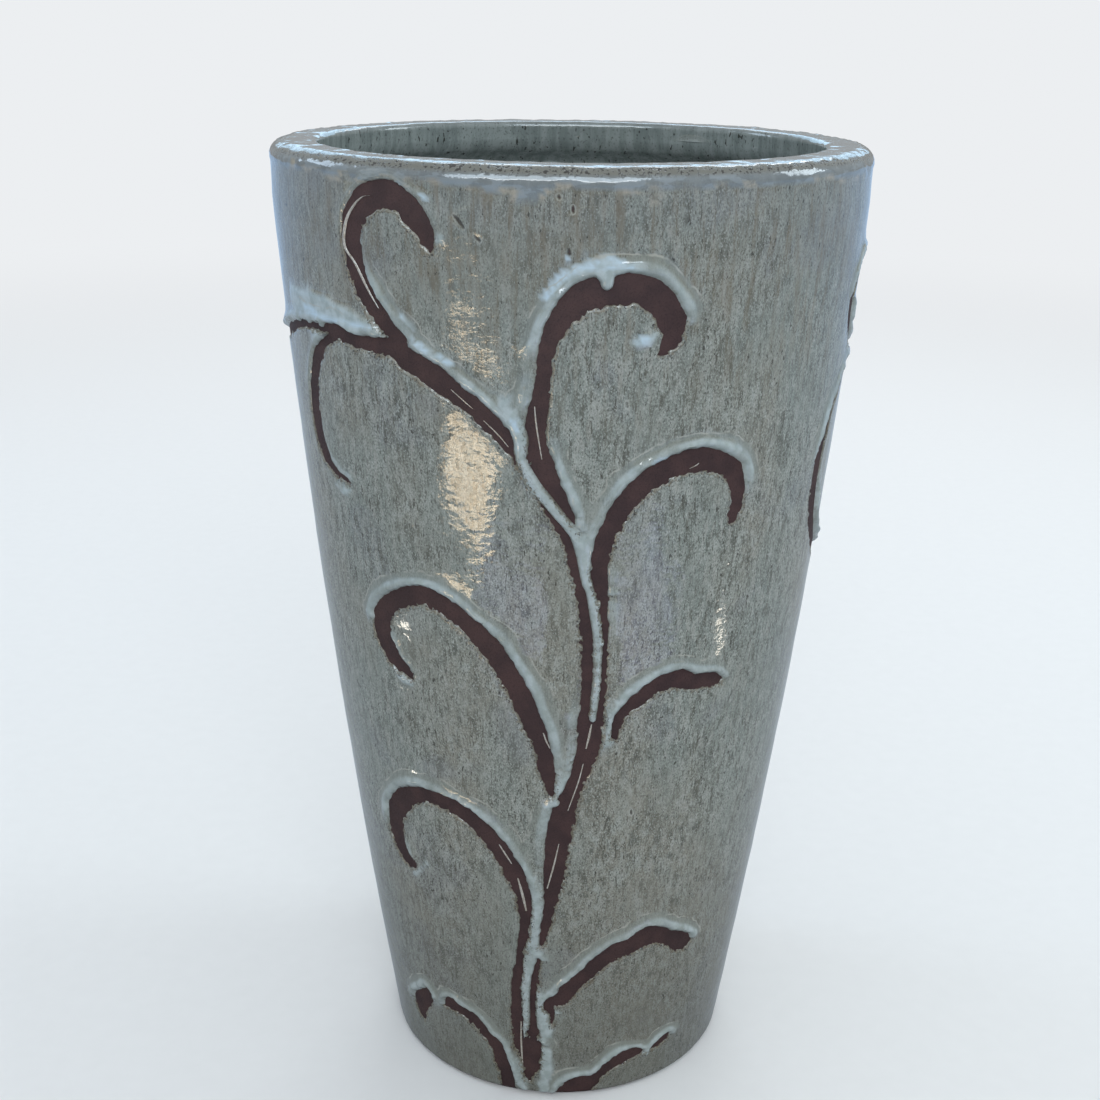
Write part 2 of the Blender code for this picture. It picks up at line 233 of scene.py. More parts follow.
# Thin threads of cream glaze left in the wiped strokes
THREADS = [
    [
        (-35.4, 610, 0.4), (-37.6, 621, 1.0), (-40.2, 636, 1.2), (-42.6, 646, 1.3), (-41.8, 660, 1.4),
        (-39.6, 671, 1.2), (-37.4, 677, 0.8), (-35.4, 678.5, 0.4),
    ],
    [(-5.7, 557, 0.3), (-5.4, 545, 0.5), (-4.4, 523, 0.3)],
    [(-21, 564, 0.3), (-19, 558.5, 0.6), (-17, 553, 0.3)],
    [(-15, 546, 0.3), (-12.5, 538, 0.6), (-10.5, 530, 0.3)],
    [(6.5, 334, 0.4), (6.1, 325, 0.8), (5.5, 315, 0.4)],
    [(5, 303, 0.3), (4, 288, 0.5), (1.8, 265, 0.3)],
    [(-0.2, 237, 0.3), (-1.4, 218, 0.6), (-3, 198, 0.4)],
    [(-15, 232, 0.4), (-13.4, 224, 0.8), (-12, 217, 0.4)],
    [(-10.5, 205, 0.5), (-9.4, 191, 1.0), (-8.5, 177, 0.6)],
    [(-10.8, 72, 0.4), (-11, 50, 0.7), (-10.8, 27, 0.4)],
    [(-4, 327, 0.4), (-3.4, 321, 0.6), (-2.5, 315, 0.4)],
    [(23.5, 514, 0.4), (24.8, 515.5, 0.9), (25.4, 517, 0.4)],
]

VINE_TURNS = (0.0, 180.0)
STROKE_STEP = 2.0  # mm between points along a stroke
REACH = 26.0  # mm from a stroke within which it matters
FAR = 60.0

# Edges of the outer glaze, in millimetres. An upward lean is 1 straight above a stroke.
BEAD_LEAN = (-0.05, 0.32)  # upward lean over which the bead above a stroke swells
FRAY_LEAN = (-0.12, 0.20)  # upward lean over which the fraying below a stroke ends
ROUGH_REACH = 6
BEAD_EDGE = 3.0  # how far back from an edge the glaze rounds up to its full thickness
THIN_EDGE = 1.0
RUNNEL_EDGE = 2.6
STRIP = (16, 7)  # glaze left between two strokes heaps up as the strip narrows between these

# Relief of the outer glaze, in millimetres above the plain coat
COAT = GLAZE / MM
BEAD_WIDTH = 12.5
CREST_RISE = 1.7
SHELF_RISE = 0.7
STRIP_RISE = 2.2
RUNNEL_RISE = 2.0
POOL_RISE = 1.5
DRAG_RISE = 0.12
SCAR_DEPTH = 0.9
RIM_RISE = 0.8
WALL_DROP = 0.6  # the coat is thinner than its nominal thickness on the wall
DENT_RISE = 0.24
RIM_BAND = 12  # how far the rim's smoother glaze runs down from the top
FOOT_FADE = 2.5

# Random fields on the lattice: a seed, then the size of the features round and down the pot in mm
FIELDS = {
    "lumps": (1, 30, 24),
    "small_lumps": (9, 9, 8),
    "fine_fray": (2, 1.2, 1.2),
    "coarse_fray": (3, 4, 4),
    "slow_ripple": (4, 9, 7),
    "quick_ripple": (13, 3, 3),
    "rim_edge": (8, 14, 6),
    "rim_dents": (12, 5, 3),
    "slow_wander": (7, 14, 26),
    "quick_wander": (10, 5, 8),
    "stop_wave": (21, 60, 1),
    "stop_drips": (22, 16, 1),
    "inner_wander": (23, 12, 25),
}


def wall_radius(z):
    """Outside radius of the glazed wall at height z."""
    t = np.minimum(z, TAPER_TOP) / TAPER_TOP
    return FOOT_RADIUS + (RIM_RADIUS - FOOT_RADIUS) * t + 4 * BELLY * t * (1 - t)


def inner_radius(z):
    """Inside radius of the finished pot at height z, below the lip."""
    return wall_radius(z) - WALL


def smoothstep(low, high, x):
    t = np.clip((x - low) / (high - low), 0.0, 1.0)
    return t * t * (3 - 2 * t)


def quarter(x):
    """A quarter ellipse: 0 at 0, upright there, level at 1 and beyond."""
    return np.sqrt(1 - (1 - np.clip(x, 0, 1)) ** 2)


def lobe(x, centre, half_width):
    """A rounded ridge: 1 at the centre, 0 beyond the half width."""
    return np.cos(np.clip((x - centre) / half_width, -1, 1) * math.pi / 2) ** 2


def arc(centre, radius, start, end, steps):
    """Points on a circular arc in the (radius, height) plane, angles in degrees from +radius."""
    angle = np.radians(np.linspace(start, end, steps + 1))
    return np.column_stack([centre[0] + radius * np.cos(angle), centre[1] + radius * np.sin(angle)])


def rim_path(steps=16):
    """Section of the glazed rim, from the lip's lower edge over the top to the shoulder."""
    lip = RIM_RADIUS - RIM_WIDTH
    return np.vstack([
        [(lip, HEIGHT - LIP_DROP)],
        arc((lip + LIP_ROUND, HEIGHT - LIP_ROUND), LIP_ROUND, 180, 90, steps),
        arc((RIM_RADIUS - SHOULDER_ROUND, HEIGHT - SHOULDER_ROUND), SHOULDER_ROUND, 90, 0, steps),
    ])


def wall_path(radius_at, high, low, steps=64):
    """Section of a wall from height high down to low."""
    z = np.linspace(high, low, steps + 1)
    return np.column_stack([radius_at(z), z])


def throat_path(steps=16):
    """Section of the inside, from the lip's lower edge back to the inner wall."""
    lip = RIM_RADIUS - RIM_WIDTH
    top = HEIGHT - LIP_DROP
    low = HEIGHT - THROAT_DROP
    swing = np.radians(np.linspace(0, 90, steps + 1))
    return np.column_stack([
        lip + (inner_radius(low) - lip) * (1 - np.cos(swing)),
        top - (top - low) * np.sin(swing),
    ])


class Section:
    """A section path sampled evenly, with the normal on its glazed side."""

    def __init__(self, path, side):
        step = np.hypot(*np.diff(path, axis=0).T)
        path = path[np.concatenate([[True], step > 1e-7])]
        along = np.concatenate([[0], np.cumsum(np.hypot(*np.diff(path, axis=0).T))])
        self.rows = COARSEST * max(1, round(along[-1] / CELL / COARSEST))
        self.along = np.linspace(0, along[-1], self.rows + 1)
        self.radius = np.interp(self.along, along, path[:, 0])
        self.z = np.interp(self.along, along, path[:, 1])
        run = np.column_stack([np.gradient(self.radius), np.gradient(self.z)])
        run /= np.hypot(*run.T)[:, None]
        self.normal_r = -side * run[:, 1]
        self.normal_z = side * run[:, 0]

    def shape(self):
        return (self.rows + 1, COLUMNS)

    def place(self, row, column, lift):
        """Positions at fractional rows and columns, lifted off the path along its normal."""
        index = np.arange(self.rows + 1)
        normal_r = np.interp(row, index, self.normal_r)
        normal_z = np.interp(row, index, self.normal_z)
        length = np.hypot(normal_r, normal_z)
        radius = np.interp(row, index, self.radius) + lift * normal_r / length
        z = np.interp(row, index, self.z) + lift * normal_z / length
        angle = 2 * math.pi * column / COLUMNS
        return np.column_stack([radius * np.sin(angle), -radius * np.cos(angle), z])


def random_field(name, shape):
    """A field from FIELDS, of unit strength, that repeats round the pot."""
    seed, across, down = FIELDS[name]
    rng = np.random.default_rng(seed)
    spectrum = np.fft.rfft2(rng.standard_normal(shape))
    column_mm = 2 * math.pi * (FOOT_RADIUS + RIM_RADIUS) / 2 / COLUMNS / MM
    row_frequency = np.fft.fftfreq(shape[0], CELL / MM)[:, None]
    column_frequency = np.fft.rfftfreq(COLUMNS, column_mm)[None, :]
    spectrum *= np.exp(-2 * ((row_frequency * down) ** 2 + (column_frequency * across) ** 2))
    field = np.fft.irfft2(spectrum, shape)
    return (field - field.mean()) / field.std()


def spline(points):
    """Points of a Catmull-Rom curve through the control points, about STROKE_STEP apart."""
    control = np.array(points, float)
    padded = np.vstack([2 * control[0] - control[1], control, 2 * control[-1] - control[-2]])
    out = []
    for a, b, c, d in zip(padded, padded[1:], padded[2:], padded[3:]):
        span = math.hypot((c[0] - b[0]) * math.radians(wall_radius(b[1] * MM)) / MM, c[1] - b[1])
        steps = max(1, round(span / STROKE_STEP))
        square = 2 * a - 5 * b + 4 * c - d
        cube = 3 * b - a - 3 * c + d
        for t in np.arange(steps) / steps:
            out.append(0.5 * (2 * b + (c - a) * t + square * t**2 + cube * t**3))
    out.append(control[-1])
    return np.array(out)


def turned_stroke(stroke, turn):
    """A stroke turned round the pot, with its bead filled in. The second vine wanders a little."""
    out = []
    for degrees, z, half_width, *bead in stroke:
        drift = 0.0 if turn == 0 else float(smoothstep(-88, -60, degrees))
        out.append((
            degrees + turn + drift * 1.2 * math.sin(z / 47 + 1),
            z + drift * 4 * math.sin(degrees / 11 + z / 90),
            half_width * (1 + drift * 0.12 * math.sin(z / 19 + degrees / 7)),
            bead[0] if bead else 1.0,
        ))
    return out


def all_turned(strokes):
    return [turned_stroke(stroke, turn) for turn in VINE_TURNS for stroke in strokes]


class Near:
    """What is known at each lattice point about the stroke nearest to it."""

    def __init__(self, shape):
        self.distance = np.full(shape, FAR)
        self.right = np.zeros(shape)  # direction away from the stroke
        self.up = np.zeros(shape)
        self.bead = np.zeros(shape)

    def take(self, other, where):
        for name in ("distance", "right", "up", "bead"):
            setattr(self, name, np.where(where, getattr(other, name), getattr(self, name)))


def near_stroke(section, stroke):
    """Signed distance in mm to one stroke, and the direction away from it."""
    near = Near(section.shape())
    heights = section.z / MM
    wall = np.argmax(section.z <= HEIGHT - SHOULDER_ROUND)
    points = spline(stroke)
    for (a0, z0, w0, b0), (a1, z1, w1, b1) in zip(points, points[1:]):
        per_degree = math.radians(wall_radius(max((z0 + z1) / 2, 0) * MM)) / MM
        reach = REACH + max(w0, w1)
        columns = np.arange(
            math.floor((min(a0, a1) - reach / per_degree) * COLUMNS / 360),
            math.ceil((max(a0, a1) + reach / per_degree) * COLUMNS / 360) + 1,
        )
        rows = np.nonzero((heights > min(z0, z1) - reach) & (heights < max(z0, z1) + reach))[0]
        rows = rows[rows >= wall]
        if not len(rows):
            continue
        x = (columns * 360 / COLUMNS - a0)[None, :] * per_degree
        y = (heights[rows] - z0)[:, None]
        run_x = (a1 - a0) * per_degree
        run_y = z1 - z0
        t = np.clip((x * run_x + y * run_y) / (run_x**2 + run_y**2), 0, 1)
        off_x = x - t * run_x
        off_y = y - t * run_y
        length = np.maximum(np.hypot(off_x, off_y), 0.01)
        distance = length - (w0 + t * (w1 - w0))
        window = np.ix_(rows, columns % COLUMNS)
        nearer = distance < near.distance[window]
        for field, value in (
            (near.right, off_x / length),
            (near.up, off_y / length),
            (near.bead, b0 + t * (b1 - b0)),
            (near.distance, distance),
        ):
            field[window] = np.where(nearer, value, field[window])
    return near


def nearest_strokes(section, strokes):
    """The nearest stroke and the second nearest one at each lattice point."""
    first = Near(section.shape())
    second = Near(section.shape())
    for stroke in strokes:
        own = near_stroke(section, stroke)
        nearest = own.distance < first.distance
        second.take(own, ~nearest & (own.distance < second.distance))
        second.take(first, nearest)
        first.take(own, nearest)
    return first, second


def roughened(distance, frayed):
    """The distance from a stroke, made ragged where the glaze frays and gently wavy elsewhere."""
    shape = distance.shape
    fray = random_field("fine_fray", shape) * 0.55 + random_field("coarse_fray", shape) * 0.55
    ripple = random_field("slow_ripple", shape) * 0.35 + random_field("quick_ripple", shape) * 0.25
    return distance + np.where(distance < ROUGH_REACH, frayed * fray + (1 - frayed) * ripple, 0)


def coat_wander(section, rim):
    """How the plain coat varies: thicker over the rim, dented at its shoulder, uneven on the wall."""
    shape = section.shape()
    along = section.along[:, None]
    shoulder = lobe(along, LIP_DROP + RIM_WIDTH - 0.006, 0.012)
    wander = 0.10 * random_field("slow_wander", shape) + 0.05 * random_field("quick_wander", shape)
    wander = wander + RIM_RISE * rim - WALL_DROP + DENT_RISE * random_field("rim_dents", shape) * shoulder
    return wander * smoothstep(0, 0.008, along)


def outer_fields(section):
    """Everything about the outer glaze on the lattice: its edge, thickness, look and level of detail."""
    shape = section.shape()
    z = section.z[:, None] / MM + np.zeros(shape)
    along = section.along[:, None] + np.zeros(shape)
    first, second = nearest_strokes(section, all_turned(STROKES.values()))
    runnel, pool, sheen_distance, scar = (
        nearest_strokes(section, all_turned(table))[0].distance for table in (RUNNELS, POOLS, PAINTED_SHEEN_SPOTS, SCARS)
    )
    lumps = random_field("lumps", shape)
    small_lumps = random_field("small_lumps", shape)
    bead = smoothstep(*BEAD_LEAN, first.up) * first.bead
    frayed = 1 - smoothstep(*FRAY_LEAN, first.up)
    distance = roughened(first.distance, frayed)
    edge = np.maximum(distance, -runnel)
    glazed = edge > 0

    facing = first.right * second.right + first.up * second.up
    between = smoothstep(0.2, -0.4, facing) * (distance > -1)
    gap = np.where(between > 0.5, np.maximum((distance + second.distance) / 2, 0.6), FAR)
    narrow = smoothstep(*STRIP, distance + second.distance) * between
    on_runnel = smoothstep(-0.5, 0.5, -runnel)
    on_pool = smoothstep(1.5, -1.5, pool + 0.7 * small_lumps)
    width = np.minimum(THIN_EDGE + (BEAD_EDGE - THIN_EDGE) * np.maximum(bead, narrow), gap)
    width = width * (1 - on_runnel) + RUNNEL_EDGE * on_runnel

    across = edge / (BEAD_WIDTH * (1 + 0.10 * lumps) * (0.6 + 0.4 * first.bead))
    crest = lobe(across, 0.30, 0.36)
    shelf = smoothstep(1.05, 0.5, across)
    relief = bead * (CREST_RISE * crest * (1 + 0.25 * small_lumps) + SHELF_RISE * shelf)
    for share, rise in ((narrow, STRIP_RISE), (on_runnel, RUNNEL_RISE), (on_pool, POOL_RISE)):
        relief = np.maximum(relief, rise * share)
    drag = np.exp(-edge / 9) * (1 - 0.6 * bead) * glazed
    relief = relief + DRAG_RISE * drag * np.sin(edge * 2.6 + lumps) - SCAR_DEPTH * smoothstep(0.9, -0.6, scar)

    over_lip = along < LIP_DROP + RIM_WIDTH
    rim_edge = z - HEIGHT / MM + RIM_BAND + 1.8 * random_field("rim_edge", shape)
    rim = np.where(over_lip, 1.0, smoothstep(-0.6, 1.2, rim_edge))
    foot = quarter((z - section.z[-1] / MM) / FOOT_FADE + 0.15)
    thickness = (COAT + relief + coat_wander(section, rim)) * quarter(edge / width) * foot
    look = {
        "edge_mm": np.clip(edge, 0, 20),
        "across": np.clip(across, 0, 2),
        "bead": bead * glazed,
        "pool": np.maximum(np.maximum(narrow, on_runnel), on_pool) * glazed,
        # where a sky reflection is painted
        "painted_sheen": smoothstep(1.0, -1.2, sheen_distance + 0.8 * small_lumps) * glazed,
        "frayed": frayed,
        "scar": np.clip(scar, -2, 6),
        "rim_line": lobe(rim_edge, -0.4, 1.6) * ~over_lip,
        "rim": rim,
        "along_mm": np.clip(along / MM, 0, 80),
        "lip": smoothstep(LIP_DROP + 0.002, LIP_DROP - LIP_ROUND, along),
    }
    spots = np.minimum(np.abs(np.minimum(pool, sheen_distance)) + 1.2, np.maximum(scar, 0) + 0.2)
    detail = np.minimum(edge - 1.5 * np.maximum(bead, narrow), spots)
    return edge, thickness, look, detail


def allowed_sizes(edge, bands, largest):
    """The largest cell, in lattice steps, allowed at each lattice point."""
    need = np.full(edge.shape, largest)
    for size, reach in bands:
        need[edge < reach] = np.minimum(need[edge < reach], size)
    return need


def back_sizes(edge):
    """Cells for the plain back of a coat: fine along its edge and its upper border only."""
    need = allowed_sizes(edge, BACK_BANDS, COARSEST)
    need[0] = 1
    return need


def quadtree(need):
    """Cells as {size: (rows, columns)}, none larger than is allowed at any point it covers."""
    corner = np.minimum(need[:-1], need[1:])
    cell = np.minimum(corner, np.roll(corner, -1, axis=1))
    covered = np.zeros(cell.shape, bool)
    found = {}
    size = COARSEST
    while size >= 1:
        blocks = (cell.shape[0] // size, size, cell.shape[1] // size, size)
        fits = (cell.reshape(blocks).min(axis=(1, 3)) >= size) & ~covered.reshape(blocks).any(axis=(1, 3))
        rows, columns = np.nonzero(fits)
        found[size] = (rows * size, columns * size)
        covered |= np.repeat(np.repeat(fits, size, 0), size, 1)
        size //= 2
    return found


def border_walk(size):
    """Lattice steps round a cell, against the clock as seen from outside the pot."""
    down = [(k, 0) for k in range(size)]
    right = [(size, k) for k in range(size)]
    up = [(size - k, size) for k in range(size)]
    left = [(0, size - k) for k in range(size)]
    return np.array(down + right + up + left)


def cut_cell(walk, edge, cuts):
    """The glazed part of a cell's border, with a numbered cut wherever the border crosses the edge."""
    face = []
    for here, there in zip(walk, np.roll(walk, -1)):
        if edge[here] > 0:
            face.append(int(here))
        if (edge[here] > 0) != (edge[there] > 0):
            key = (int(min(here, there)), int(max(here, there)))
            face.append(cuts.setdefault(key, len(edge) + len(cuts)))
    return face


def skin_faces(edge, need):
    """Faces over the glazed side of the lattice, and the points where its edge cuts lattice lines.

    Lattice points are numbered row by row. Cut points are numbered after them.
    """
    cells = quadtree(need)
    used = np.zeros(edge.shape, bool)
    for size, (rows, columns) in cells.items():
        for down, right in ((0, 0), (0, size), (size, 0), (size, size)):
            used[rows + down, (columns + right) % COLUMNS] = True
    faces = []
    cuts = {}
    flat_edge = edge.ravel()
    flat_used = used.ravel()
    for size, (rows, columns) in cells.items():
        walk = border_walk(size)
        ids = (rows[:, None] + walk[:, 0]) * COLUMNS + (columns[:, None] + walk[:, 1]) % COLUMNS
        glazed = flat_edge[ids] > 0
        whole = glazed.all(axis=1)
        faces.extend(row[kept].tolist() for row, kept in zip(ids[whole], flat_used[ids[whole]]))
        for row in ids[glazed.any(axis=1) & ~whole]:
            face = cut_cell(row, flat_edge, cuts)
            if len(face) > 2:
                faces.append(face)
    return faces, cuts


class CoatSide:
    """One side of a coat: vertices, faces and look values, and the vertex number of each lattice point."""

    def __init__(self, section, edge, look, need, lift):
        faces, cuts = skin_faces(edge, need)
        pairs = np.array(list(cuts), int).reshape(-1, 2)
        edge0, edge1 = edge.ravel()[pairs].T
        t = np.clip(edge0 / (edge0 - edge1), 0.1, 0.9)
        lattice_rows, lattice_columns = np.divmod(np.arange(edge.size), COLUMNS)
        row0, row1 = lattice_rows[pairs].T
        column0, column1 = lattice_columns[pairs].T
        wraps = np.abs(column1 - column0) > 1
        column0 = np.where(wraps & (column0 < column1), column0 + COLUMNS, column0)
        rows = np.concatenate([lattice_rows, row0 + t * (row1 - row0)])
        columns = np.concatenate([lattice_columns, column0 + t * (column1 - column0)])
        height = np.concatenate([lift.ravel() * MM, np.zeros(len(pairs))])
        used = np.zeros(len(rows), bool)
        used[np.concatenate(faces)] = True
        self.number = np.cumsum(used) - 1
        self.vertices = section.place(rows[used], columns[used], height[used] - GLAZE)
        self.faces = [self.number[face] for face in faces]
        self.values = {}
        for key, field in look.items():
            flat = field.ravel()
            at_cuts = flat[pairs[:, 0]] * (1 - t) + flat[pairs[:, 1]] * t
            self.values[key] = np.concatenate([flat, at_cuts])[used]


def skin_mesh(name, section, edge, thickness, look, need_front, need_back, side):
    """A closed coat of glaze: a front that follows the thickness and a plain back on the clay."""
    front = CoatSide(section, edge, look, need_front, thickness)
    back = CoatSide(section, edge, look, need_back, np.zeros_like(edge))
    base = len(front.vertices)
    faces = [face[::side].tolist() for face in front.faces]
    faces.extend((face + base)[::-side].tolist() for face in back.faces)
    for row, turn in ((0, side), (section.rows, -side)):
        glazed = edge[row] > 0
        ring = slice(row * COLUMNS, (row + 1) * COLUMNS)
        outside = front.number[ring]
        inside = back.number[ring] + base
        for i in range(COLUMNS):
            j = (i + 1) % COLUMNS
            if glazed[i] and glazed[j]:
                faces.append([int(v) for v in (outside[i], outside[j], inside[j], inside[i])[::turn]])
    piece = smooth_piece(name, np.vstack([front.vertices, back.vertices]).tolist(), faces)
    for key in look:
        attribute = piece.data.attributes.new(key, "FLOAT", "POINT")
        values = np.concatenate([front.values[key], back.values[key]])
        attribute.data.foreach_set("value", values.astype(np.float32))
    return piece


def smooth_piece(name, vertices, faces):
    """An object with the mesh given, shaded smooth except at its corners."""
    mesh = bpy.data.meshes.new(name)
    mesh.from_pydata(vertices, [], faces)
    mesh.polygons.foreach_set("use_smooth", [True] * len(mesh.polygons))
    mesh.set_sharp_from_angle(angle=math.radians(CORNER))
    mesh.update()
    piece = bpy.data.objects.new(name, mesh)
    bpy.context.scene.collection.objects.link(piece)
    return piece


def outer_skin():
    """The outer coat: over the lip and the rim, down the wall to the foot line."""
    path = np.vstack([rim_path(), wall_path(wall_radius, TAPER_TOP, GLAZE_FOOT_LINE)])
    section = Section(path, 1)
    edge, thickness, look, detail = outer_fields(section)
    need = allowed_sizes(detail, OUTER_BANDS, PLAIN_CELL)
    rim = section.along < RIM_WIDTH + LIP_DROP + 0.025
    need[rim] = np.minimum(need[rim], 4)
    shoulder = np.abs(section.along - LIP_DROP - RIM_WIDTH + 0.004) < 0.013
    need[shoulder] = np.minimum(need[shoulder], 2)
    need[np.abs(section.along - LIP_DROP) < LIP_ROUND] = 1
    need[-3:] = 1
    need[0] = 1
    back = back_sizes(edge)
    back[-1] = 1
    return skin_mesh("outer_glaze_skin", section, edge, thickness, look, need, back, 1)


def inner_skin():
    """The inner coat: it runs down under the lip and stops on a wavy, dripping edge."""
    path = np.vstack([
        throat_path(),
        wall_path(inner_radius, HEIGHT - THROAT_DROP, HEIGHT - INNER_LATTICE_DEPTH),
    ])
    section = Section(path, -1)
    shape = section.shape()
    ring = (1, COLUMNS)
    stop = (HEIGHT - INNER_GLAZE_DEPTH) / MM
    stop = stop + 6 * random_field("stop_wave", ring) + 3.5 * random_field("stop_drips", ring)
    edge = (section.z[:, None] / MM - stop) * 0.8
    roll = np.exp(-(((edge - 5) / 4) ** 2))
    thickness = (COAT + 0.15 * random_field("inner_wander", shape) + 1.2 * roll) * quarter(edge / 4)
    thickness[0] = COAT
    need = allowed_sizes(edge, INNER_BANDS, PLAIN_CELL)
    need[:8] = np.minimum(need[:8], 2)
    need[0] = 1
    look = {"pool": roll * (edge > 0)}
    return skin_mesh("inner_glaze_skin", section, edge, thickness, look, need, back_sizes(edge), -1)


def threads():
    """Low rounded threads of glaze lying in the strokes, each closed underneath."""
    vertices = []
    faces = []
    sides = THREAD_SIDES
    for thread in all_turned(THREADS):
        line = spline(thread)
        start = len(vertices)
        for degrees, z, half_width, _ in line:
            for k in range(sides):
                swing = 2 * math.pi * k / sides
                radius = wall_radius(z * MM) - GLAZE + (0.25 + 0.55 * half_width * math.sin(swing)) * MM
                angle = math.radians(degrees) + half_width * math.cos(swing) * MM / radius
                vertices.append((radius * math.sin(angle), -radius * math.cos(angle), z * MM))
        last = len(line) - 1
        for i in range(last):
            here = start + i * sides
            there = here + sides
            for k in range(sides):
                following = (k + 1) % sides
                faces.append((here + k, here + following, there + following, there + k))
        faces.append(tuple(range(start + sides - 1, start - 1, -1)))
        faces.append(tuple(range(start + last * sides, start + (last + 1) * sides)))
    return smooth_piece("glaze_threads", vertices, faces)


def turned(name, outline):
    """A closed ring turned round the pot's axis from a closed outline in (radius, height)."""
    outline = np.array(outline)
    count = len(outline)
    angle = 2 * math.pi * np.arange(TURN_SEGMENTS) / TURN_SEGMENTS
    points = np.stack([
        outline[None, :, 0] * np.sin(angle)[:, None],
        -outline[None, :, 0] * np.cos(angle)[:, None],
        np.repeat(outline[None, :, 1], TURN_SEGMENTS, 0),
    ], axis=-1)
    here = np.arange(TURN_SEGMENTS)[:, None] * count
    there = (np.arange(TURN_SEGMENTS)[:, None] + 1) % TURN_SEGMENTS * count
    k = np.arange(count)[None, :]
    following = (k + 1) % count
    faces = np.stack([here + k, here + following, there + following, there + k], axis=-1).reshape(-1, 4)
    return smooth_piece(name, points.reshape(-1, 3).tolist(), faces.tolist())


def base_slab():
    clay = FOOT_RADIUS - GLAZE
    ring = clay - FOOT_BEVEL - FOOT_RING_WIDTH
    bevel = arc((clay - FOOT_BEVEL, FOOT_BEVEL), FOOT_BEVEL, -90, 0, 6)[::-1]
    outline = np.vstack([
        [(wall_radius(BASE_THICKNESS) - GLAZE, BASE_THICKNESS)],
        bevel,
        [(ring, 0.0), (ring - FOOT_RECESS, FOOT_RECESS)],
        [(DRAIN_RADIUS, FOOT_RECESS), (DRAIN_RADIUS, BASE_THICKNESS)],
    ])
    return turned("base_slab_clay", outline)


def clay_wall():
    outside = wall_path(lambda z: wall_radius(z) - GLAZE, TAPER_TOP, BASE_THICKNESS)
    inside = wall_path(lambda z: inner_radius(z) + GLAZE, TAPER_TOP, BASE_THICKNESS)
    return turned("clay_wall_turned", np.vstack([outside, inside[::-1]]))


def sunk(path, depth):
    """The path moved by depth into the clay on its right-hand side, or by -depth on its left."""
    run = np.gradient(path, axis=0)
    run /= np.hypot(*run.T)[:, None]
    return path + depth * np.column_stack([run[:, 1], -run[:, 0]])


def rim_coil():
    over = sunk(rim_path(), GLAZE)
    throat = sunk(throat_path(), -GLAZE)
    under = [(RIM_RADIUS - GLAZE, TAPER_TOP), (inner_radius(TAPER_TOP) + GLAZE, TAPER_TOP)]
    return turned("rim_coil_clay", np.vstack([over, under, throat[::-1]]))


# Colours, linear
CELADON = (0.232, 0.250, 0.216)
OLIVE = (0.258, 0.242, 0.192)
VIOLET = (0.215, 0.222, 0.225)
LIGHT_STONE = (0.42, 0.43, 0.38)
RIM_DULL = (0.165, 0.185, 0.190)
RIM_LIGHT = (0.205, 0.225, 0.225)
# A painted sky reflection on the rim's lower shoulder
RIM_PAINTED_SHEEN = (0.30, 0.34, 0.355)
PITTED = (0.165, 0.156, 0.120)
PIT = (0.030, 0.026, 0.022)
BEAD_BODY = (0.235, 0.250, 0.215)
# The pale crest colours are partly a painted highlight
BEAD_DULL = (0.360, 0.410, 0.385)
BEAD_PALE = (0.480, 0.535, 0.525)
# A painted pale blue sky reflection on the thickest glaze
PAINTED_SHEEN_BLUE = (0.50, 0.61, 0.67)
CREAM_LINE = (0.42, 0.41, 0.35)
RUST = (0.170, 0.135, 0.085)
RUST_HAZE = (0.150, 0.132, 0.094)
# Painted shade, with a painted reflection of a brown ground, near the foot
FOOT_PAINTED_SHADE = (0.118, 0.112, 0.086)
SPECK = (0.040, 0.034, 0.024)
FRINGE = (0.115, 0.088, 0.046)
FRINGE_DOT = (0.024, 0.018, 0.015)
ROOM = (0.84, 0.86, 0.88)
GROUND = (0.44, 0.46, 0.48)
HORIZON = (0.48, 0.66, 0.92)
WARM = (1.0, 0.80, 0.55)
COOL = (0.62, 0.68, 1.0)
SUNLIT = (1.0, 0.93, 0.80)

GLAZE_IOR = 1.58

# What the outer skin knows about its glaze at each point
LOOK_NAMES = (
    "edge_mm", "across", "bead", "pool", "painted_sheen", "frayed", "scar", "rim_line", "rim", "along_mm", "lip",
)

# Soft lights: place, height aimed at, size, watts, colour, and whether the glaze mirrors the light
LIGHTS = {
    "front_sky": ((0.25, -2.8, 1.9), 0.5, (1.7, 1.9), 38, (0.87, 0.93, 1.0), False),
    "left_sky": ((-2.9, 0.9, 1.9), 0.4, (1.0, 1.2), 17, (0.64, 0.81, 1.0), True),
    "right_sky": ((2.9, 0.4, 1.9), 0.4, (1.0, 1.2), 25, (0.80, 0.92, 1.0), True),
    "back_sky": ((0.3, 3.0, 2.4), 0.45, (1.9, 1.1), 28, (0.86, 0.93, 1.0), True),
}

